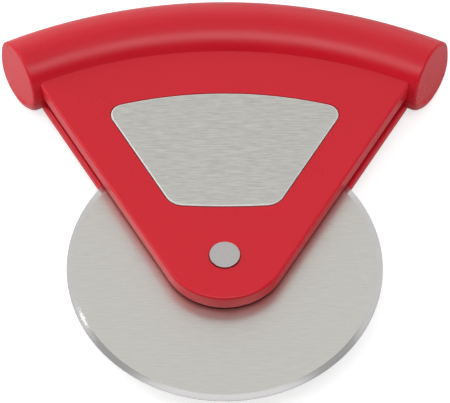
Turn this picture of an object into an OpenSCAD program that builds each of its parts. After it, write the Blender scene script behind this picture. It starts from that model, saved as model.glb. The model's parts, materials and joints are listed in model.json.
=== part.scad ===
/* [Cutting wheel] */
// Diameter of the cutting wheel
wheel_d = 100; // [80:1:120]
// Thickness of the blade
wheel_t = 1.2; // [0.8:0.1:1.6]
// Width of the ground bevel at the rim
bevel_w = 2; // [1:0.5:4]
// Thickness left at the cutting edge
edge_t = 0.3; // [0.2:0.1:0.5]
// Outer diameter of the bush that is pressed into the wheel
bush_d = 12; // [10:0.5:14]

/* [Fork] */
// Angle between the middle of the slice and each of its sides
half_angle = 30; // [26:1:34]
// Distance from the axle to each side of the slice
side_off = 18.4; // [16:0.2:22]
// Radius of the round tip
tip_r = 20.4; // [18:0.2:24]
// Thickness of the front plate
front_t = 5.85; // [5:0.05:8]
// Thickness of the rear plate
rear_t = 4; // [3.6:0.1:6]
// Clear gap between the two plates
fork_gap = 2.7; // [2.4:0.1:4]
// Room between the wheel's rim and the web between the plates
rim_room = 2.5; // [1.5:0.5:4]
// How far the web stands back from the slice's sides
web_inset = 6; // [3:0.5:8]

/* [Crust handle] */
// Diameter of the handle's round section
crust_d = 24.1; // [22:0.1:28]
// Radius of the handle's curve, at its middle line
crust_arc_r = 155.5; // [140:0.5:180]
// Distance from the wheel's rim to the handle's middle line
crust_reach = 38.5; // [37:0.5:44]
// How far each end face stands out past the slice's side, on the shells' parting plane
end_overhang = 3; // [1.6:0.1:4]
// Lean of the end faces, which stand out further at the rear
end_lean = 4.5; // [0:0.5:5]
// Rounding of the end faces' rims
end_round = 2; // [0.8:0.1:2.5]
// Wall of the hollow handle
crust_wall = 3; // [2:0.25:4]

/* [Inlay] */
// Thickness of the steel inlay plate
inlay_t = 0.8; // [0.5:0.1:1.2]
// Thickness of the tape under the inlay plate
tape_t = 0.2; // [0.1:0.05:0.4]
// How far the inlay's face stands out of the front face
inlay_proud = 0.2; // [0:0.05:0.4]
// Clearance round the inlay plate in its recess
inlay_fit = 0.15; // [0.1:0.05:0.3]
// Distance from the slice's side to the inlay's side
inlay_margin = 13.4; // [11:0.2:15]
// Distance from the handle's middle line to the inlay's top edge
inlay_drop = 26.3; // [24:0.1:28]
// Height of the inlay's bottom edge above the axle
inlay_bottom = 19; // [16:0.5:22]
// Radius of the inlay's upper corners
inlay_corner = 4; // [2:0.5:6]
// Radius of the inlay's lower corners
inlay_low_corner = 6.4; // [4:0.2:8]

/* [Axle] */
// Diameter of the two axle heads
head_d = 9.7; // [8:0.1:12]
// Thickness of the front head
head_t = 1.5; // [1.2:0.1:2]
// How far the front head stands out of the front face
head_proud = 0.5; // [0:0.1:0.8]
// Thickness of the rear head, which lies flush
rear_head_t = 1.2; // [1:0.1:1.6]
// Outer diameter of the axle barrel
barrel_d = 6; // [5:0.1:7]
// Diameter of the axle rivet's shank
shank_d = 3.6; // [3:0.1:4]
// Outer diameter of the thrust washers
washer_d = 20; // [16:0.5:24]

/* [Fastening] */
// Thread diameter of the shell screws
screw_d = 3; // [2.5:0.1:3.5]
// Head diameter of the shell screws
screw_head_d = 5.6; // [5:0.1:6.5]
// Head height of the shell screws
screw_head_h = 2; // [1.5:0.1:2.4]
// Distance from the inlay's edge to the screws' middles
screw_inset = 5.7; // [4:0.1:7]
// Diameter of the handle's locating pins
pin_d = 4; // [3:0.2:5]
// Length of the handle's locating pins
pin_l = 12; // [8:0.5:14]
// Wall of the bosses round the locating pins
boss_wall = 2.5; // [1.5:0.25:3]
// Distance from the slice's sides to the outer locating pins
pin_inset = 12; // [9:0.5:16]

/* [Fits] */
// Radial running clearance of the bush on the barrel
run_fit = 0.05; // [0.02:0.01:0.1]
// Clearance of fixed pieces in their holes
hole_fit = 0.05; // [0.03:0.01:0.1]
// Axial running clearance on each side of the wheel
side_play = 0.1; // [0.05:0.05:0.2]
// Clearance between the washers and the turning bush
washer_room = 0.3; // [0.2:0.05:0.5]

/* [Hidden] */
$fn = 96;

red = "#c92d3a";
steel = "#c3bfb9";
acetal = "#e8e6df";

// A cut reaches this far past the face that it opens
over = 1;
wheel_r = wheel_d / 2;
crust_r = crust_d / 2;

// Heights are counted from the wheel's middle plane, which is also the shells' parting plane
front_in = fork_gap / 2;
front_face = front_in + front_t;
rear_in = -fork_gap / 2;
rear_face = rear_in - rear_t;

// The handle's curve and the inlay's top edge share one centre
crust_y = wheel_r + crust_reach;
arc_y = crust_y - crust_arc_r;
inlay_top_r = crust_arc_r - inlay_drop;
tip_y = (tip_r - side_off) / sin(half_angle);

// Recess for the inlay and its tape
recess_floor = front_face + inlay_proud - inlay_t - tape_t;
tape_top = recess_floor + tape_t;

// Axle heads and seats
front_seat = front_face + head_proud - head_t;
rear_seat = rear_face + rear_head_t;

// Screws clamp the shells through the web
screw_seat = recess_floor - screw_head_h - hole_fit;
screw_skin = 1;
screw_end = rear_face + screw_skin + hole_fit;

// The part stands on its lowest point, in the middle of its outline
outline_mid_y = (crust_y + crust_r - wheel_r) / 2;

// Angle about the arc's centre at which an arc of radius r lies at a distance inside the slice's side
function arc_angle(r, inset) =
    half_angle - asin((inset - side_off - arc_y * sin(half_angle)) / r);

// Point on an arc about the handle's centre
function arc_point(r, angle) = [r * sin(angle), arc_y + r * cos(angle)];

// Point at height y that lies at a distance inside the slice's right side
function side_point(y, inset) =
    [(side_off - inset + y * sin(half_angle)) / cos(half_angle), y];

function mirrored(p) = [-p[0], p[1]];

end_angle = arc_angle(crust_arc_r, -end_overhang);
end_point = arc_point(crust_arc_r, end_angle);
// Place of the handle's end along the slice's side, from the foot of the axle on that side
end_along = end_point[0] * sin(half_angle) + end_point[1] * cos(half_angle);

pin_angle = arc_angle(crust_arc_r, pin_inset);
pin_points = [for (a = [-pin_angle, -pin_angle / 3, pin_angle / 3, pin_angle]) arc_point(crust_arc_r, a)];
screw_arc_r = inlay_top_r - screw_inset;
screw_angle = arc_angle(screw_arc_r, inlay_margin + screw_inset + inlay_fit);
screw_points = [for (a = [-screw_angle, 0, screw_angle]) arc_point(screw_arc_r, a)];

// From the axle's frame to the part's frame
module place() {
    translate([0, -outline_mid_y, crust_r]) children();
}

module both_sides() {
    children();
    mirror([1, 0, 0]) children();
}

// On the slice's right side: x points out of the side and y runs along it towards the handle
module on_side() {
    rotate([0, 0, -half_angle]) translate([side_off, 0, 0]) children();
}

// What a round edge takes off a square corner that lies at the origin
module corner_waste(r) {
    difference() {
        translate([-r, -r]) square(r + over);
        translate([-r, -r]) circle(r);
    }
}

// Upright cylinder between two heights
module post(d, low, high) {
    translate([0, 0, low]) cylinder(d = d, h = high - low);
}

// The slice's outline between two heights, drawn in by an inset, as far as the handle's middle line
module slice(low, high, inset = 0) {
    r = tip_r - inset;
    tangent = [r * cos(half_angle), tip_y - r * sin(half_angle)];
    corner = side_point(crust_y, inset);
    translate([0, 0, low]) {
        intersection() {
            linear_extrude(high - low) polygon([mirrored(tangent), tangent, corner, mirrored(corner)]);
            translate([0, arc_y, 0]) cylinder(r = crust_arc_r, h = high - low);
        }
        translate([0, tip_y, 0]) cylinder(r = r, h = high - low);
    }
}

// Web between the plates, on one side of the parting plane, clear of the wheel
module web(low, high) {
    difference() {
        slice(low, high, web_inset);
        post(wheel_d + 2 * rim_room, low - over, high + over);
    }
}

// Round bar along the handle's curve, longer than the handle: side is 1, -1 or 0 for front, rear or whole
module curved_bar(r, side) {
    sweep = 2 * end_angle + 20;
    translate([0, arc_y, 0]) rotate([0, 0, 90 - sweep / 2]) rotate_extrude(angle = sweep, $fn = 360)
        translate([crust_arc_r, 0]) intersection() {
            circle(r);
            if (side != 0) translate([-r, side > 0 ? 0 : -r]) square([2 * r, r]);
        }
}

// At the middle of both end faces: x points out of the face
module on_ends() {
    both_sides() on_side() translate([end_overhang, end_along, 0]) rotate([0, -end_lean, 0]) children();
}

// All that lies past the handle's end faces, moved in by an inset
module end_waste(inset = 0) {
    block = 4 * crust_d;
    on_ends() translate([-inset, -block / 2, -block / 2]) cube(block);
}

module end_rim_waste() {
    on_ends() rotate([0, 90, 0]) rotate_extrude() translate([crust_r, 0]) corner_waste(end_round);
}

module half_crust(side) {
    difference() {
        curved_bar(crust_r, side);
        end_waste();
        end_rim_waste();
    }
}

// Hollow inside the handle, with the pins' bosses left standing
module crust_hollow() {
    difference() {
        curved_bar(crust_r - crust_wall, 0);
        end_waste(crust_wall);
        for (p = pin_points)
            translate(p) cylinder(d = pin_d + 2 * boss_wall, h = crust_d, center = true);
    }
}

module pin_holes() {
    for (p = pin_points)
        translate(p) cylinder(d = pin_d + 2 * hole_fit, h = pin_l + 2 * hole_fit, center = true);
}

// The inlay's outline as a solid; grow moves its whole edge out by a clearance
module inlay_solid(low, high, grow = 0) {
    r = inlay_corner + grow;
    low_r = inlay_low_corner + grow;
    out = [cos(half_angle), -sin(half_angle)];
    top_mid_r = inlay_top_r - inlay_corner;
    top_angle = arc_angle(top_mid_r, inlay_margin + inlay_corner);
    top = arc_point(top_mid_r, top_angle);
    top_edge = arc_point(top_mid_r + r, top_angle);
    top_past = arc_point(inlay_top_r + inlay_drop, top_angle);
    low_mid = side_point(inlay_bottom + inlay_low_corner, inlay_margin + inlay_low_corner);
    right = [low_mid - [0, low_r], low_mid + low_r * out, top + r * out, top_edge];
    left = [for (i = [3 : -1 : 0]) mirrored(right[i])];
    translate([0, 0, low]) {
        linear_extrude(high - low) polygon(concat(right, left));
        intersection() {
            translate([0, arc_y, 0]) cylinder(r = top_mid_r + r, h = high - low, $fn = 360);
            linear_extrude(high - low) polygon([top, top_past, mirrored(top_past), mirrored(top)]);
        }
        both_sides() {
            translate(top) cylinder(r = r, h = high - low);
            translate(low_mid) cylinder(r = low_r, h = high - low);
        }
    }
}

module front_shell() {
    color(red) place() difference() {
        union() {
            slice(front_in, front_face);
            half_crust(1);
            web(0, front_in);
        }
        crust_hollow();
        pin_holes();
        inlay_solid(recess_floor, front_face + over, inlay_fit);
        for (p = screw_points) translate(p) {
            post(screw_d + 2 * hole_fit, -over, front_face);
            post(screw_head_d + 2 * hole_fit, screw_seat, front_face);
        }
        post(barrel_d + 2 * hole_fit, -over, front_face);
        post(head_d + 2 * hole_fit, front_seat, front_face + over);
    }
}

module rear_shell() {
    color(red) place() difference() {
        union() {
            slice(rear_face, rear_in);
            half_crust(-1);
            web(rear_in, 0);
        }
        crust_hollow();
        pin_holes();
        for (p = screw_points) translate(p) post(screw_d + 2 * hole_fit, rear_face + screw_skin, over);
        post(barrel_d + 2 * hole_fit, rear_face, over);
        post(head_d + 2 * hole_fit, rear_face - over, rear_seat);
    }
}

module inlay_plate() {
    color(steel) place() inlay_solid(tape_top, tape_top + inlay_t);
}

module inlay_tape() {
    color("white") place() inlay_solid(recess_floor, tape_top);
}

module shell_screws() {
    color(steel) place() for (p = screw_points) translate(p) {
        post(screw_head_d, screw_seat, screw_seat + screw_head_h);
        post(screw_d, screw_end, screw_seat);
    }
}

module handle_pins() {
    color(steel) place() for (p = pin_points)
        translate(p) cylinder(d = pin_d, h = pin_l, center = true);
}

module axle_rivet() {
    color(steel) place() {
        post(head_d, front_seat, front_seat + head_t);
        post(shank_d, rear_seat, front_seat);
    }
}

module axle_barrel() {
    color(steel) place() difference() {
        union() {
            post(head_d, rear_face, rear_seat);
            post(barrel_d, rear_seat, front_seat);
        }
        post(shank_d + 2 * hole_fit, rear_seat, front_seat + over);
    }
}

module washer(low, high) {
    difference() {
        post(washer_d, low, high);
        post(bush_d + 2 * washer_room, low - over, high + over);
    }
}

module front_washer() {
    color(acetal) place() washer(wheel_t / 2 + side_play, front_in);
}

module rear_washer() {
    color(acetal) place() washer(rear_in, -wheel_t / 2 - side_play);
}

module wheel_bush() {
    color(acetal) place() difference() {
        post(bush_d, rear_in + side_play, front_in - side_play);
        post(barrel_d + 2 * run_fit, rear_in, front_in);
    }
}

module cutting_wheel() {
    color(steel) place() rotate_extrude($fn = 360) polygon([
        [bush_d / 2, -wheel_t / 2], [wheel_r - bevel_w, -wheel_t / 2], [wheel_r, -edge_t / 2],
        [wheel_r, edge_t / 2], [wheel_r - bevel_w, wheel_t / 2], [bush_d / 2, wheel_t / 2]
    ]);
}

front_shell();
rear_shell();
inlay_plate();
inlay_tape();
shell_screws();
handle_pins();
axle_rivet();
axle_barrel();
front_washer();
rear_washer();
wheel_bush();
cutting_wheel();
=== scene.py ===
import json
import math
from collections import namedtuple

import bmesh
import bpy
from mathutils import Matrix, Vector


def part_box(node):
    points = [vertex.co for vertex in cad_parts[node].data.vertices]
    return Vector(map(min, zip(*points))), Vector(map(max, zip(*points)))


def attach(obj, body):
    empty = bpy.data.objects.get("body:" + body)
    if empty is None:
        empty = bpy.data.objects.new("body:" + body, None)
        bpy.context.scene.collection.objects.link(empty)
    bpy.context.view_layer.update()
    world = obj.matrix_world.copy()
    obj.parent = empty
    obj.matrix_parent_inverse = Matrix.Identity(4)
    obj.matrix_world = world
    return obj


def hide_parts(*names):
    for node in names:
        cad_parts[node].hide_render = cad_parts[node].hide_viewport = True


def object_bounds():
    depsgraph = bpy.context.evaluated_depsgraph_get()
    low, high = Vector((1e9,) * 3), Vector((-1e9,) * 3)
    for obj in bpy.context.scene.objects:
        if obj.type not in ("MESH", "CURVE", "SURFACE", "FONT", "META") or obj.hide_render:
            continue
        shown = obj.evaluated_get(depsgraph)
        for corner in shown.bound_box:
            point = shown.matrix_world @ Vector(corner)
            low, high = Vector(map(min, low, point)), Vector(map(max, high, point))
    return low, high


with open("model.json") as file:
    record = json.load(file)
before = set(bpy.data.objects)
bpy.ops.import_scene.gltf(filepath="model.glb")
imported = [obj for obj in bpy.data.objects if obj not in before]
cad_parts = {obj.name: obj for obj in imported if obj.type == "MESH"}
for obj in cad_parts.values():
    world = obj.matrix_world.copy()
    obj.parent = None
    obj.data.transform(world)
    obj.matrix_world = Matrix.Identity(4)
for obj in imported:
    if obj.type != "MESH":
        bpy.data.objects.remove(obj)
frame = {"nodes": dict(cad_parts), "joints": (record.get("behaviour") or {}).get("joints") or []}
cad_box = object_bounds()

# Lengths are in millimetres from the axle: x to the right, y towards the handle, z out of the front
MM = 0.001
AXLE = Vector(frame["joints"][0]["pos_m"])
X, Y, Z = range(3)
LOW, HIGH = range(2)
FRONT, REAR = 1, -1


def reach(node, axis, side):
    """Lowest or highest place of a solid along an axis."""
    return (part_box(node)[side][axis] - AXLE[axis]) / MM


# Sizes that the solids give
WHEEL_R = reach("cutting_wheel", X, HIGH)
WHEEL_HALF_T = reach("cutting_wheel", Z, HIGH)
BUSH_R = reach("wheel_bush", X, HIGH)
CRUST_R = reach("front_shell", Z, HIGH)
CRUST_Y = reach("front_shell", Y, HIGH) - CRUST_R
FRONT_IN = reach("front_washer", Z, HIGH)
REAR_IN = reach("rear_washer", Z, LOW)
REAR_FACE = reach("axle_barrel", Z, LOW)
BARREL_TOP = reach("axle_barrel", Z, HIGH)
HEAD_R = reach("axle_rivet", X, HIGH)
HEAD_TOP = reach("axle_rivet", Z, HIGH)
REAR_SEAT = reach("axle_rivet", Z, LOW)
RECESS_FLOOR = reach("inlay_tape", Z, LOW)
INLAY_LOW = reach("inlay_plate", Z, LOW)
INLAY_FACE = reach("inlay_plate", Z, HIGH)
INLAY_BOTTOM = reach("inlay_plate", Y, LOW)
INLAY_TOP = reach("inlay_plate", Y, HIGH)

# Outline of the slice and the handle; angles are in degrees
HALF_ANGLE = 30
SIDE_OFF = 18.4
TIP_R = 20.4
CRUST_ARC_R = 155.5
END_ANGLE = 25.5
END_TURN = 28
END_LEAN = 4.9
INLAY_PROUD = 0.2
FRONT_FACE = INLAY_FACE - INLAY_PROUD
ARC_Y = CRUST_Y - CRUST_ARC_R
TIP_Y = (TIP_R - SIDE_OFF) / math.sin(math.radians(HALF_ANGLE))

# Rounding and small gaps of the moulded pieces
FRONT_PLATE_ROUND = 0.75
REAR_PLATE_ROUND = 0.4
REBATE_W = 2
REBATE_DEPTH = 1
PLATE_CORNER = 1.5
INNER_ROUND = 1.0
LIP_ROUND = 0.12
PLATE_TUCK = 0.6
END_ROUND_FRONT = 0.8
END_ROUND_OUTER = 2.2
END_ROUND_REAR = 3.6
END_BEAD_W = 0.35
END_BEAD_H = 0.4
SEAM_HALF_W = 0.25
SEAM_DEPTH = 0.16
WEB_INSET = 6
WEB_ROOM = 2.5
HEAD_GAP = 0.18
BARREL_R = 3
BORE_R = 3.05
SHANK_R = 1.8
SHANK_BORE_R = 1.85

# Directions round the handle's section between which the rounding of an end's rim changes
OUTER_SIDE = 90
WHEEL_SIDE = -90
FRONT_ROUND_GROWS = 60
REAR_ROUND_FULL = -45
REAR_ROUND_SHRINKS = 0
REAR_ROUND_OUTER = 45

# The handle's even part stops this many times the fullest rounding before its ends
END_KEEP_OFF = 1.2

# Inlay, wheel rim and axle heads
INLAY_MARGIN = 13.4
INLAY_CORNER = 4
INLAY_LOW_CORNER = 6.4
INLAY_GAP = 0.28
INLAY_ROLL_W = 0.42
INLAY_ROLL_DEPTH = 0.26
INLAY_BOTTOM_ARC_R = 240
BEVEL_W = 2
BEVEL_BOW = 0.02
EDGE_HALF_T = 0.15
HEAD_ROUND = 0.12

# Mesh steps
FILLET_STEPS = 8
LIP_STEPS = 3
HEAD_STEPS = 5
BEVEL_STEPS = 4
TIP_STEPS = 64
CORNER_STEPS = 10
LONG_ARC_STEPS = 48
CRUST_STATIONS = 120
CRUST_RING_STEPS = 48
ROUND_STEPS = 64
WHEEL_STEPS = 360

# Points that lie closer than this are one, in an outline and, in metres, in a turned piece
SAME_POINT = 1e-6
WELD_M = 1e-7

# Angles between faces, in degrees, from which an edge is shown sharp
SHARP_ANGLE = 35
INLAY_SHARP_ANGLE = 60
WHEEL_SHARP_ANGLE = 6


# Outlines of arcs that meet tangentially: start and end are directions of the outward normal in degrees
Arc = namedtuple("Arc", "x y r start end steps")


def arc_angle(r, inset):
    """Angle from the middle at which an arc about the handle's centre lies inside the slice's side."""
    sine = math.sin(math.radians(HALF_ANGLE))
    return HALF_ANGLE - math.degrees(math.asin((inset - SIDE_OFF - ARC_Y * sine) / r))


def arc_point(r, angle):
    """Point on an arc about the handle's centre."""
    turn = math.radians(angle)
    return r * math.sin(turn), ARC_Y + r * math.cos(turn)


def side_x(y, inset):
    """Half width of the slice at a height, drawn in by an inset."""
    turn = math.radians(HALF_ANGLE)
    return (SIDE_OFF - inset + y * math.sin(turn)) / math.cos(turn)


def outline(arcs, inset=0.0):
    """Closed loop of points along the arcs, moved inwards by an inset."""
    points = []
    for arc in arcs:
        for i in range(arc.steps + 1):
            turn = math.radians(arc.start + (arc.end - arc.start) * i / arc.steps)
            r = arc.r - inset
            point = (arc.x + r * math.cos(turn), arc.y + r * math.sin(turn))
            if not points or math.dist(points[-1], point) > SAME_POINT:
                points.append(point)
    if math.dist(points[0], points[-1]) < SAME_POINT:
        points.pop()
    return points


def slice_outline(z):
    """The plate's outline, whose top edge tucks into the handle where the plate's face meets it."""
    top_r = CRUST_ARC_R - math.sqrt(CRUST_R**2 - z**2) + PLATE_TUCK
    corner_r = top_r - PLATE_CORNER
    angle = arc_angle(corner_r, PLATE_CORNER)
    x, y = arc_point(corner_r, angle)
    return [
        Arc(0, TIP_Y, TIP_R, -180 + HALF_ANGLE, -HALF_ANGLE, TIP_STEPS),
        Arc(x, y, PLATE_CORNER, -HALF_ANGLE, 90 - angle, CORNER_STEPS),
        Arc(0, ARC_Y, top_r, 90 - angle, 90 + angle, LONG_ARC_STEPS),
        Arc(-x, y, PLATE_CORNER, 90 + angle, 180 + HALF_ANGLE, CORNER_STEPS),
    ]


def inlay_outline():
    """The inlay's outline, with a bottom edge that bows out a little."""
    top_r = INLAY_TOP - ARC_Y
    top_angle = arc_angle(top_r - INLAY_CORNER, INLAY_MARGIN + INLAY_CORNER)
    top_x, top_y = arc_point(top_r - INLAY_CORNER, top_angle)
    low_r = INLAY_LOW_CORNER
    low_y = INLAY_BOTTOM + low_r
    low_x = side_x(low_y, INLAY_MARGIN + low_r)
    bow_r = INLAY_BOTTOM_ARC_R
    bow_y = low_y + math.sqrt((bow_r - low_r) ** 2 - low_x**2)
    bow_angle = math.degrees(math.asin(low_x / (bow_r - low_r)))
    return [
        Arc(0, bow_y, bow_r, -90 - bow_angle, -90 + bow_angle, LONG_ARC_STEPS),
        Arc(low_x, low_y, low_r, -90 + bow_angle, -HALF_ANGLE, CORNER_STEPS),
        Arc(top_x, top_y, INLAY_CORNER, -HALF_ANGLE, 90 - top_angle, CORNER_STEPS),
        Arc(0, ARC_Y, top_r, 90 - top_angle, 90 + top_angle, LONG_ARC_STEPS),
        Arc(-top_x, top_y, INLAY_CORNER, 90 + top_angle, 180 + HALF_ANGLE, CORNER_STEPS),
        Arc(-low_x, low_y, low_r, 180 + HALF_ANGLE, 270 - bow_angle, CORNER_STEPS),
    ]


def circle(r, steps=ROUND_STEPS):
    """A full circle about the axle."""
    return [Arc(0, 0, r, 0, 360, steps)]


def ring(arcs, inset, z):
    """An outline at a height."""
    return [(x, y, z) for x, y in outline(arcs, inset)]


def round_edge(face, far, radius, steps, hole_grow=None):
    """(inset, height) pairs from a face over a rounded edge into a wall that runs towards a far height.

    The wall is the outside of a piece, or that of a hole which is larger than its outline.
    """
    into = 1 if far > face else -1
    pairs = []
    for i in range(steps + 1):
        turn = math.pi / 2 * i / steps
        inset = radius * (1 - math.sin(turn))
        z = face + into * radius * (1 - math.cos(turn))
        pairs.append((inset if hole_grow is None else -inset - hole_grow, z))
    return pairs


# Meshes made of rings
def add_rings(bm, rings):
    """Quads between successive closed rings; gives the first and the last loop of vertices."""
    loops = [[bm.verts.new(AXLE + Vector(p) * MM) for p in points] for points in rings]
    for near, far in zip(loops, loops[1:]):
        for i in range(len(near)):
            bm.faces.new((near[i - 1], near[i], far[i], far[i - 1]))
    return loops[0], loops[-1]


def fill(bm, *loops):
    """A flat face inside the first loop, with the other loops as holes."""
    if len(loops) == 1:
        bm.faces.new(loops[0])
        return
    edges = [bm.edges.get((loop[i - 1], loop[i])) for loop in loops for i in range(len(loop))]
    bmesh.ops.triangle_fill(bm, use_beauty=True, edges=edges)


def capped(rings):
    """A mesh of rings with a flat face at either end."""
    bm = bmesh.new()
    first, last = add_rings(bm, rings)
    fill(bm, first)
    fill(bm, last)
    return bm


# Objects of the scene
def add_object(name, data):
    """A new object in the scene."""
    obj = bpy.data.objects.new(name, data)
    bpy.context.scene.collection.objects.link(obj)
    return obj


def add_mesh(name, bm, material):
    """A new object from a mesh, which is used up."""
    mesh = bpy.data.meshes.new(name)
    bm.to_mesh(mesh)
    bm.free()
    mesh.materials.append(material)
    return add_object(name, mesh)


def piece(name, bm, material, body, nodes, sharp_angle=SHARP_ANGLE):
    """Makes a piece of the object from a mesh and lets it ride on its body."""
    bmesh.ops.recalc_face_normals(bm, faces=bm.faces)
    obj = add_mesh(name, bm, material)
    obj.data.shade_smooth()
    obj.data.set_sharp_from_angle(angle=math.radians(sharp_angle))
    weighted = obj.modifiers.new("face_weighted_normals", "WEIGHTED_NORMAL")
    weighted.keep_sharp = True
    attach(obj, body)
    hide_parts(*nodes)
    return obj


def add_finish(obj, material, takes_it):
    """Gives a second material to the faces of a piece that take it."""
    obj.data.materials.append(material)
    for face in obj.data.polygons:
        face.material_index = 1 if takes_it(face) else 0


# Handle halves
def end_angle(height):
    """Angle of the end faces about the handle's centre; they stand out further at the rear."""
    rise = height * math.tan(math.radians(END_LEAN)) / CRUST_ARC_R
    return END_TURN + math.degrees(math.asin(math.sin(math.radians(END_ANGLE - END_TURN)) - rise))


def crust_point(u, height, radius):
    """Point of the handle's round surface, at a share u of its length from the middle to an end.

    height and radius are the place on the round section: its z and its distance from the middle line,
    with a radius below zero on the side of the wheel.
    """
    angle = end_angle(height) * u
    lean = math.radians(END_TURN * u)
    along = CRUST_ARC_R * math.cos(lean - math.radians(angle))
    step = -along + math.sqrt(along**2 - CRUST_ARC_R**2 + (CRUST_ARC_R + radius) ** 2)
    x, y = arc_point(CRUST_ARC_R, angle)
    return Vector((x + step * math.sin(lean), y + step * math.cos(lean), height))


def section_turns():
    """Directions round one half of the round section, from the wheel's side to the outer side."""
    ease = math.degrees(math.asin(SEAM_HALF_W / CRUST_R))
    start, end = WHEEL_SIDE + ease, OUTER_SIDE - ease
    turns = [WHEEL_SIDE, WHEEL_SIDE + ease / 2]
    turns += [start + (end - start) * i / CRUST_RING_STEPS for i in range(CRUST_RING_STEPS + 1)]
    return [math.radians(turn) for turn in turns + [OUTER_SIDE - ease / 2, OUTER_SIDE]]


def section_point(side, turn, shrink=0.0):
    """(height, radius) on the round section, whose edges are eased at the seam."""
    r = CRUST_R - SEAM_DEPTH * max(0, 1 - CRUST_R * math.cos(turn) / SEAM_HALF_W) ** 2 - shrink
    return side * r * math.cos(turn), r * math.sin(turn)


def ramp(value, start, end, low, high):
    """Goes from low to high while a value goes from start to end."""
    return low + (high - low) * min(1.0, max(0.0, (value - start) / (end - start)))


def rim_round(side, turn):
    """Rounding of an end face's rim: crisp in front, fuller at the outer side and fullest at the rear."""
    angle = math.degrees(turn)
    if side == FRONT:
        return ramp(angle, FRONT_ROUND_GROWS, OUTER_SIDE, END_ROUND_FRONT, END_ROUND_OUTER)
    if angle < REAR_ROUND_FULL:
        return ramp(angle, WHEEL_SIDE, REAR_ROUND_FULL, END_ROUND_FRONT, END_ROUND_REAR)
    return ramp(angle, REAR_ROUND_SHRINKS, REAR_ROUND_OUTER, END_ROUND_REAR, END_ROUND_OUTER)


def end_rings(side, end):
    """Rings over the rounded rim of one end face and a fine bead at the rear, onto the flat of the face."""
    corners = []
    for turn in section_turns():
        rounding = rim_round(side, turn)
        height, radius = section_point(side, turn)
        length = (CRUST_ARC_R + radius) * math.radians(end_angle(height))
        corner = crust_point(end, height, radius)
        along = crust_point(end * (1 - rounding / length), height, radius) - corner
        inward = crust_point(end, *section_point(side, turn, rounding)) - corner
        corners.append((corner, along, inward))
    rings = []
    for i in range(FILLET_STEPS + 1):
        turn = math.pi / 2 * i / FILLET_STEPS
        back, rise = 1 - math.sin(turn), 1 - math.cos(turn)
        rings.append([corner + along * back + inward * rise for corner, along, inward in corners])
    # The bead's crest and its foot; it is highest halfway between the wheel's side and the rear
    for step, height in ((1, END_BEAD_H), (2, 0)):
        bead = []
        for turn, (corner, along, inward) in zip(section_turns(), corners):
            stand = height * max(0.0, -math.sin(2 * turn)) if side == REAR else 0
            foot = corner + inward + inward.normalized() * END_BEAD_W * step
            bead.append(foot - along.normalized() * stand)
        rings.append(bead)
    return rings


def crust_half(side):
    """One half of the handle, on the front or the rear side of the seam."""
    half_length = (CRUST_ARC_R - CRUST_R) * math.radians(end_angle(CRUST_R))
    reach_u = 1 - END_KEEP_OFF * END_ROUND_REAR / half_length
    section = [section_point(side, turn) for turn in section_turns()]
    rings = end_rings(side, -1)[::-1]
    for i in range(CRUST_STATIONS + 1):
        u = reach_u * (2 * i / CRUST_STATIONS - 1)
        rings.append([crust_point(u, height, radius) for height, radius in section])
    return capped(rings + end_rings(side, 1))


# Fork plates
def plate_wall(bm, face, far, rounding):
    """The plate's outer wall with rounded edges; gives its loops at the face and at the far side."""
    arcs = slice_outline(face)
    pairs = round_edge(face, far, rounding, FILLET_STEPS)
    pairs += round_edge(far, face, INNER_ROUND, LIP_STEPS)[::-1]
    return add_rings(bm, [ring(arcs, inset, z) for inset, z in pairs])


def head_seat(bm, face, far, seat):
    """Counterbore for an axle head and the bore below it; gives its loops at the face and the far side."""
    wide = circle(HEAD_R)
    pairs = round_edge(face, far, LIP_ROUND, LIP_STEPS, HEAD_GAP)
    rings = [ring(wide, inset, z) for inset, z in pairs] + [ring(wide, -HEAD_GAP, seat)]
    rings += [ring(circle(BORE_R), 0, z) for z in (seat, far)]
    return add_rings(bm, rings)


def front_plate():
    """Front plate with the recess for the inlay and the seat of the axle's head."""
    bm = bmesh.new()
    face, back = plate_wall(bm, FRONT_FACE, FRONT_IN, FRONT_PLATE_ROUND)
    hole, bore = head_seat(bm, FRONT_FACE, FRONT_IN, BARREL_TOP)
    arcs = inlay_outline()
    pairs = round_edge(FRONT_FACE, RECESS_FLOOR, LIP_ROUND, LIP_STEPS, INLAY_GAP)
    rings = [ring(arcs, inset, z) for inset, z in pairs] + [ring(arcs, -INLAY_GAP, RECESS_FLOOR)]
    recess, recess_floor = add_rings(bm, rings)
    fill(bm, face, recess, hole)
    fill(bm, recess_floor)
    fill(bm, back, bore)
    return bm


def rear_plate():
    """Rear plate, whose inner edge is set back all round."""
    bm = bmesh.new()
    step = REAR_IN - REBATE_DEPTH
    face, ledge = plate_wall(bm, REAR_FACE, step, REAR_PLATE_ROUND)
    arcs = slice_outline(REAR_FACE)
    foot, back = add_rings(bm, [ring(arcs, REBATE_W, z) for z in (step, REAR_IN)])
    fill(bm, ledge, foot)
    hole, bore = head_seat(bm, REAR_FACE, REAR_IN, REAR_SEAT)
    fill(bm, face, hole)
    fill(bm, back, bore)
    return bm


def web():
    """Web between the plates, from the wheel's round clearance up into the handle."""
    clear_r = WHEEL_R + WEB_ROOM
    start = math.degrees(math.acos((SIDE_OFF - WEB_INSET) / clear_r)) - HALF_ANGLE
    angle = arc_angle(CRUST_ARC_R, WEB_INSET)
    points = outline([Arc(0, ARC_Y, CRUST_ARC_R, 90 - angle, 90 + angle, LONG_ARC_STEPS)])
    points += outline([Arc(0, 0, clear_r, 180 - start, start, LONG_ARC_STEPS)])
    return capped([[(x, y, z) for x, y in points] for z in (REAR_IN, FRONT_IN)])


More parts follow.
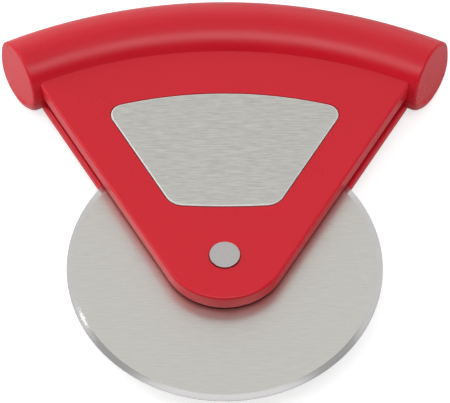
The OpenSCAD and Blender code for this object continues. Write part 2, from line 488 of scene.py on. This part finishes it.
# Steel pieces
def inlay():
    """Punched plate whose upper edge rolls over a little."""
    arcs = inlay_outline()
    rings = [ring(arcs, 0, INLAY_LOW)]
    for i in range(LIP_STEPS + 1):
        share = i / LIP_STEPS
        drop = INLAY_ROLL_DEPTH * (1 - math.sin(math.pi / 2 * share))
        rings.append(ring(arcs, INLAY_ROLL_W * share, INLAY_FACE - drop))
    return capped(rings)


def on_inlay_roll(face):
    """Whether a face of the inlay belongs to its rolled edge, which is neither upright nor level."""
    upright, level = 0.2, 0.98
    return upright < face.normal.z < level


def lathe(profile, steps=ROUND_STEPS):
    """Turned piece from (radius, height) pairs; closed along the axle unless the profile is a loop."""
    rings = [ring(circle(r, steps), 0, z) for r, z in profile]
    if profile[0] == profile[-1]:
        bm = bmesh.new()
        add_rings(bm, rings)
    else:
        bm = capped(rings)
    bmesh.ops.remove_doubles(bm, verts=bm.verts, dist=WELD_M)
    return bm


def wheel_profile():
    """Blade from the bush over the ground bevel, which bows out most halfway, to the cutting edge."""
    bevel = []
    for i in range(BEVEL_STEPS + 1):
        share = i / BEVEL_STEPS
        bow = BEVEL_BOW * 4 * share * (1 - share)
        half_t = WHEEL_HALF_T + (EDGE_HALF_T - WHEEL_HALF_T) * share
        bevel.append((WHEEL_R - BEVEL_W * (1 - share), half_t + bow))
    front = [(BUSH_R, WHEEL_HALF_T), (WHEEL_R / 2, WHEEL_HALF_T)] + bevel
    rear = [(r, -z) for r, z in front[::-1]]
    return front + rear + front[:1]


def on_bevel(face):
    """Whether a face of the wheel belongs to its ground bevel."""
    return (face.center - AXLE).to_2d().length / MM > WHEEL_R - BEVEL_W


def head_profile(top, seat):
    """Rounded rim of an axle head, from its face to its seat."""
    rim = [(HEAD_R - inset, z) for inset, z in round_edge(top, seat, HEAD_ROUND, HEAD_STEPS)]
    return [(HEAD_R / 2, top)] + rim + [(HEAD_R, seat)]


def rivet_profile():
    """Axle pin with its head in front."""
    return head_profile(HEAD_TOP, BARREL_TOP) + [(SHANK_R, BARREL_TOP), (SHANK_R, REAR_SEAT)]


def barrel_profile():
    """Sleeve round the axle pin, with its head at the rear."""
    outside = head_profile(REAR_FACE, REAR_SEAT) + [(BARREL_R, REAR_SEAT), (BARREL_R, BARREL_TOP)]
    return outside + [(SHANK_BORE_R, BARREL_TOP), (SHANK_BORE_R, REAR_SEAT)]


# Nodes and materials
ONE_NOISE = (0.3, 0.7)  # where most of a noise lies
TWO_NOISES = (0.5, 1.0)  # where most of a noise and half of another lie
COLOUR_A, COLOUR_B, COLOUR_RESULT = 6, 7, 2  # sockets of the colour mix
LONG_MARKS = (170, 1900, 1900)  # brush marks per metre along x, y and z
SHORT_MARKS = (420, 3000, 3000)


class Nodes:
    """A node tree, with a short way to add to it."""

    def __init__(self, tree):
        self.tree = tree

    def add(self, kind, inputs=(), **settings):
        """A new node, with its inputs set to values or linked to sockets."""
        node = self.tree.nodes.new(kind)
        for key, value in settings.items():
            setattr(node, key, value)
        for socket, value in dict(inputs).items():
            if isinstance(value, bpy.types.NodeSocket):
                self.tree.links.new(value, node.inputs[socket])
            else:
                node.inputs[socket].default_value = value
        return node

    def math(self, operation, *values):
        """Result of a calculation with sockets or numbers."""
        return self.add("ShaderNodeMath", dict(enumerate(values)), operation=operation).outputs[0]

    def spread(self, fac, low, high, source=ONE_NOISE, **settings):
        """Goes from low to high while a factor goes through a range."""
        inputs = {0: fac, 1: source[0], 2: source[1], 3: low, 4: high}
        return self.add("ShaderNodeMapRange", inputs, **settings).outputs[0]


class Look(Nodes):
    """A material's node tree, with short ways to add its procedural detail."""

    def __init__(self, name, **sockets):
        self.material = bpy.data.materials.new(name)
        self.material.use_nodes = True
        super().__init__(self.material.node_tree)
        self.shader = self.tree.nodes["Principled BSDF"]
        self.place = self.add("ShaderNodeTexCoord").outputs["Object"]
        for socket, value in sockets.items():
            self.shader.inputs[socket].default_value = value

    def noise(self, scale=1.0, detail=2.0, stretch=None):
        """Noise with that many cells per metre, or stretched differently along x, y and z."""
        place = self.place
        if stretch:
            place = self.add("ShaderNodeMapping", {"Vector": place, "Scale": stretch}).outputs[0]
        inputs = {"Vector": place, "Scale": scale, "Detail": detail}
        return self.add("ShaderNodeTexNoise", inputs).outputs["Fac"]

    def blend(self, fac, low, high):
        """Mixes two colours by a factor from 0 to 1."""
        inputs = {0: fac, COLOUR_A: (*low, 1), COLOUR_B: (*high, 1)}
        return self.add("ShaderNodeMix", inputs, data_type="RGBA").outputs[COLOUR_RESULT]

    def total(self, first, second, share):
        """First plus a share of second."""
        return self.math("MULTIPLY_ADD", second, share, first)

    def bump(self, height, depth, strength):
        """Roughens the surface by a height, with a depth in metres."""
        inputs = {"Height": height, "Distance": depth, "Strength": strength}
        self.drive("Normal", self.add("ShaderNodeBump", inputs).outputs[0])

    def drive(self, socket, value):
        """Links a value to one of the shader's inputs."""
        self.tree.links.new(value, self.shader.inputs[socket])


def red_plastic():
    """Moulded plastic with a satin grain and a very slight cloudiness."""
    look = Look("satin_red_plastic", IOR=1.4)
    cloud = look.noise(scale=45, detail=3)
    grain = look.total(look.noise(scale=5200), look.noise(scale=1300), share=1.2)
    uneven = look.total(cloud, grain, share=0.4)
    look.drive("Base Color", look.blend(cloud, (0.548, 0.0055, 0.0165), (0.582, 0.0075, 0.0205)))
    look.drive("Roughness", look.spread(uneven, low=0.27, high=0.36, source=(0.7, 1.2)))
    look.bump(grain, depth=24e-6, strength=0.6)
    return look.material


def brushed_steel(name, dark, light, rough, uneven=0.05):
    """Steel with straight brush marks along x."""
    look = Look(name, Metallic=1.0)
    long_marks = look.noise(detail=3, stretch=LONG_MARKS)
    marks = look.total(long_marks, look.noise(stretch=SHORT_MARKS), share=0.5)
    look.drive("Base Color", look.blend(look.spread(marks, 0, 1, TWO_NOISES), dark, light))
    look.drive("Roughness", look.spread(marks, rough + uneven, rough - uneven, TWO_NOISES))
    look.bump(marks, depth=6e-6, strength=0.5)
    return look.material


def turned_steel(name, dark, light, rough, uneven):
    """Steel with round marks about the axle."""
    look = Look(name, Metallic=1.0)
    centred = look.add("ShaderNodeVectorMath", {0: look.place, 1: AXLE}, operation="SUBTRACT")
    flat = look.add("ShaderNodeVectorMath", {0: centred.outputs[0], 1: (1, 1, 0)}, operation="MULTIPLY")
    radius = look.add("ShaderNodeVectorMath", {0: flat.outputs[0]}, operation="LENGTH").outputs["Value"]
    inputs = {"W": radius, "Scale": 4200, "Detail": 2.0}
    marks = look.add("ShaderNodeTexNoise", inputs, noise_dimensions="1D").outputs["Fac"]
    stain = look.total(marks, look.noise(scale=700, detail=3), share=0.5)
    look.drive("Base Color", look.blend(look.spread(stain, 0, 1, TWO_NOISES), dark, light))
    look.drive("Roughness", look.spread(stain, rough + uneven, rough - uneven, TWO_NOISES))
    look.bump(marks, depth=4e-6, strength=0.4)
    return look.material


def plain_finish(name, dark, light, rough, scale, metallic=0.0, uneven=0.06):
    """Even finish with a fine grain."""
    look = Look(name, Metallic=metallic)
    grain = look.noise(scale, detail=3)
    look.drive("Base Color", look.blend(look.spread(grain, 0, 1), dark, light))
    look.drive("Roughness", look.spread(grain, rough - uneven, rough + uneven))
    look.bump(grain, depth=8e-6, strength=0.4)
    return look.material


def dress_solid(node, material):
    """Gives a carried-over solid its material."""
    mesh = frame["nodes"][node].data
    mesh.materials.clear()
    mesh.materials.append(material)


red = red_plastic()
blade = brushed_steel("brushed_blade_steel", (0.632, 0.618, 0.579), (0.703, 0.689, 0.648), rough=0.34)
blade_edge = turned_steel(
    "ground_edge_steel", (0.61, 0.60, 0.60), (0.67, 0.66, 0.66), rough=0.11, uneven=0.012
)
inlay_steel = brushed_steel(
    "brushed_inlay_steel", (0.512, 0.507, 0.478), (0.674, 0.669, 0.632), rough=0.44
)
# Pale, mostly matt finish for the inlay's rolled edge: partly a real tumbled edge, partly a painted
# highlight, so the edge shows as a light line all round
inlay_edge_painted_highlight = plain_finish(
    "tumbled_edge_steel_painted_highlight", (0.66, 0.67, 0.64), (0.74, 0.75, 0.72), rough=0.5, scale=900, metallic=0.3
)
axle_steel = turned_steel("axle_steel", (0.51, 0.485, 0.48), (0.575, 0.55, 0.545), rough=0.42, uneven=0.05)
fastener_steel = plain_finish(
    "zinc_plated_steel", (0.52, 0.52, 0.52), (0.62, 0.62, 0.62), rough=0.35, scale=2500, metallic=1.0
)
acetal = plain_finish("natural_acetal", (0.76, 0.75, 0.70), (0.82, 0.81, 0.77), rough=0.40, scale=1500)
tape = plain_finish("foam_tape", (0.80, 0.80, 0.79), (0.88, 0.88, 0.87), rough=0.75, scale=4000)

# Pieces of the object: mesh, material, body and the solids they stand for
piece("crust_front_half", crust_half(FRONT), red, "fork", ["front_shell"])
piece("crust_rear_half", crust_half(REAR), red, "fork", ["rear_shell"])
piece("front_plate", front_plate(), red, "fork", ["front_shell"])
piece("rear_plate", rear_plate(), red, "fork", ["rear_shell"])
piece("fork_web", web(), red, "fork", ["front_shell", "rear_shell"])
steel_inlay = piece(
    "steel_inlay", inlay(), inlay_steel, "fork", ["inlay_plate"], INLAY_SHARP_ANGLE
)
# The rolled edge takes the pale finish, a painted highlight that lights the inlay's outline on every side
add_finish(steel_inlay, inlay_edge_painted_highlight, on_inlay_roll)
piece("rivet", lathe(rivet_profile()), axle_steel, "fork", ["axle_rivet"])
piece("barrel", lathe(barrel_profile()), axle_steel, "fork", ["axle_barrel"])
wheel_mesh = lathe(wheel_profile(), WHEEL_STEPS)
wheel = piece(
    "blade_wheel", wheel_mesh, blade, "wheel", ["cutting_wheel"], WHEEL_SHARP_ANGLE
)
add_finish(wheel, blade_edge, on_bevel)

for solid in ("shell_screws", "handle_pins"):
    dress_solid(solid, fastener_steel)
for solid in ("front_washer", "rear_washer", "wheel_bush"):
    dress_solid(solid, acetal)
dress_solid("inlay_tape", tape)


# Floor; reflections see a painted white glow on its left, standing in for more light falling there, which
# fades out across a strip in the middle
FLOOR_HALF = 8000
FLOOR_DARK = (0.59, 0.59, 0.59)
FLOOR_LIGHT = (0.61, 0.61, 0.61)
FLOOR_WHITE_TO_CAMERA = 0.66
FLOOR_PAINTED_LEFT_GLOW_IN_REFLECTIONS = 0.15
FLOOR_FADE_HALF_W = 30

# Room: levels are shares of the walls' brightness, and pairs are directions where a change starts and ends
WALL_LEVEL = 0.85
CORNICE_LEVEL = 0.6
CORNICE_HEIGHT = (0.86, 0.89)
CEILING_LIFT = 2.1
CEILING_HEIGHT = (0.935, 0.975)
FRONT_LEVEL = 0.07
FRONT_START = (0.25, -0.35)
FRONT_HEIGHT = (0.12, 0.36)
BACK_LEVEL = 1.35
BACK_START = (0.72, 0.9)
LEFT_LEVEL = 0.7
RIGHT_LEVEL = 0.05
RIGHT_HEIGHT = (0.3, 0.6)
RIGHT_SHARE_LOW_DOWN = 0.5
SIDE_START = (0.16, 0.36)
SIDE_FORWARD = 0.6
WHOLE_RANGE = (0.0, 1.0)

LAMP_DISTANCE = 1000

# Camera at the photograph's angle: the image is 450 pixels wide and the part lies level below it
CAMERA_ELEVATION = 55.9
CAMERA_DISTANCE = 2500
CAMERA_LENS = 629
CAMERA_TARGET = Vector((0.08, 25.35, 0))
CAMERA_CLIP = 100000


def whiten(look, to_camera, painted_left_glow):
    """Adds a plain white to what a surface shows to the camera and, on its left, a painted glow seen only
    in reflections, which stands in for more light falling on that side.
    """
    path = look.add("ShaderNodeLightPath").outputs
    reflected = look.math("MAXIMUM", path["Is Glossy Ray"], path["Is Transmission Ray"])
    across = look.add("ShaderNodeSeparateXYZ", {0: look.place}).outputs["X"]
    fade = (-FLOOR_FADE_HALF_W * MM, FLOOR_FADE_HALF_W * MM)
    # Painted reflection glow, on the floor's left only
    part = look.math("MULTIPLY", reflected, look.spread(across, painted_left_glow, 0.0, fade))
    strength = look.total(part, path["Is Camera Ray"], to_camera)
    white = look.add("ShaderNodeEmission", {"Strength": strength})
    both = look.add("ShaderNodeAddShader", {0: look.shader.outputs[0], 1: white.outputs[0]})
    look.tree.links.new(both.outputs[0], look.tree.nodes["Material Output"].inputs["Surface"])


def floor():
    """Pale floor under the object's lowest point."""
    look = Look("pale_floor", Roughness=0.9, IOR=1.2)
    look.drive("Base Color", look.blend(look.noise(scale=30), FLOOR_DARK, FLOOR_LIGHT))
    whiten(look, FLOOR_WHITE_TO_CAMERA, FLOOR_PAINTED_LEFT_GLOW_IN_REFLECTIONS)
    bm = bmesh.new()
    bmesh.ops.create_grid(bm, x_segments=1, y_segments=1, size=FLOOR_HALF * MM)
    obj = add_mesh("floor", bm, look.material)
    obj.location.z = cad_box[LOW].z


def sky():
    """White studio walls with a dim cornice under a bright ceiling, darker to the front and the right.

    The front is dark only above the floor, and the right mostly high up.
    """
    world = bpy.data.worlds.new("studio")
    world.use_nodes = True
    bpy.context.scene.world = world
    nodes = Nodes(world.node_tree)
    place = nodes.add("ShaderNodeTexCoord").outputs["Generated"]
    axes = nodes.add("ShaderNodeSeparateXYZ", {0: place}).outputs
    ahead, height = axes["Y"], axes["Z"]

    def step(source, change, low, high):
        """Goes smoothly from low to high through a change."""
        return nodes.spread(source, low, high, change, interpolation_type="SMOOTHSTEP")

    def aside(side):
        """Grows towards one side of the room and towards its front."""
        inputs = {0: place, 1: (side, -SIDE_FORWARD, 0)}
        return nodes.add("ShaderNodeVectorMath", inputs, operation="DOT_PRODUCT").outputs["Value"]

    in_front = nodes.math(
        "MULTIPLY", step(ahead, FRONT_START, 0.0, 1.0), step(height, FRONT_HEIGHT, 0.0, 1.0)
    )
    on_right = nodes.math(
        "MULTIPLY",
        step(aside(1), SIDE_START, 0.0, 1.0),
        step(height, RIGHT_HEIGHT, RIGHT_SHARE_LOW_DOWN, 1.0),
    )
    level = step(height, CORNICE_HEIGHT, 1.0, CORNICE_LEVEL)
    for share in (
        step(height, CEILING_HEIGHT, 1.0, CEILING_LIFT),
        step(in_front, WHOLE_RANGE, 1.0, FRONT_LEVEL),
        step(aside(-1), SIDE_START, 1.0, LEFT_LEVEL),
        step(on_right, WHOLE_RANGE, 1.0, RIGHT_LEVEL),
        step(ahead, BACK_START, 1.0, BACK_LEVEL),
    ):
        level = nodes.math("MULTIPLY", level, share)
    background = nodes.tree.nodes["Background"].inputs
    nodes.tree.links.new(level, background["Strength"])
    background["Color"].default_value = (WALL_LEVEL, WALL_LEVEL, WALL_LEVEL, 1)


def face_part(obj, azimuth, elevation, distance, target=Vector()):
    """Puts a lamp or camera at a distance from a target; azimuth 0 is in front and 90 on the right."""
    around, up = math.radians(azimuth), math.radians(elevation)
    away = Vector((math.sin(around) * math.cos(up), -math.cos(around) * math.cos(up), math.sin(up)))
    obj.location = AXLE + (target + away * distance) * MM
    obj.rotation_euler = away.to_track_quat("Z", "Y").to_euler()


def softbox(name, azimuth, elevation, size, power, mirrored=True):
    """Soft lamp that faces the axle; one that isn't mirrored gives light but shows in no reflection."""
    lamp = bpy.data.lights.new(name, "AREA")
    lamp.shape = "RECTANGLE"
    lamp.size, lamp.size_y = (side * MM for side in size)
    lamp.energy = power
    obj = add_object(name, lamp)
    face_part(obj, azimuth, elevation, LAMP_DISTANCE)
    obj.visible_camera = False
    obj.visible_glossy = mirrored


def camera():
    """Camera in front of the part, far away and with a long lens."""
    data = bpy.data.cameras.new("camera")
    data.lens = CAMERA_LENS
    data.clip_end = CAMERA_CLIP * MM
    obj = add_object("camera", data)
    face_part(obj, 0, CAMERA_ELEVATION, CAMERA_DISTANCE, CAMERA_TARGET)
    bpy.context.scene.camera = obj


floor()
sky()
softbox("overhead_softbox", azimuth=0, elevation=72.5, size=(1000, 420), power=5.2)
softbox("left_fill", azimuth=-100, elevation=10, size=(700, 300), power=5.2, mirrored=False)
softbox("right_fill", azimuth=100, elevation=15, size=(700, 500), power=3.0, mirrored=False)
softbox("front_fill", azimuth=25, elevation=10, size=(500, 300), power=1.3, mirrored=False)
softbox("edge_softbox", azimuth=-100, elevation=43, size=(450, 250), power=1.5)
softbox("rim_spot", azimuth=-134.8, elevation=57.2, size=(22, 22), power=0.009)
camera()
bpy.context.scene.view_settings.view_transform = "Standard"
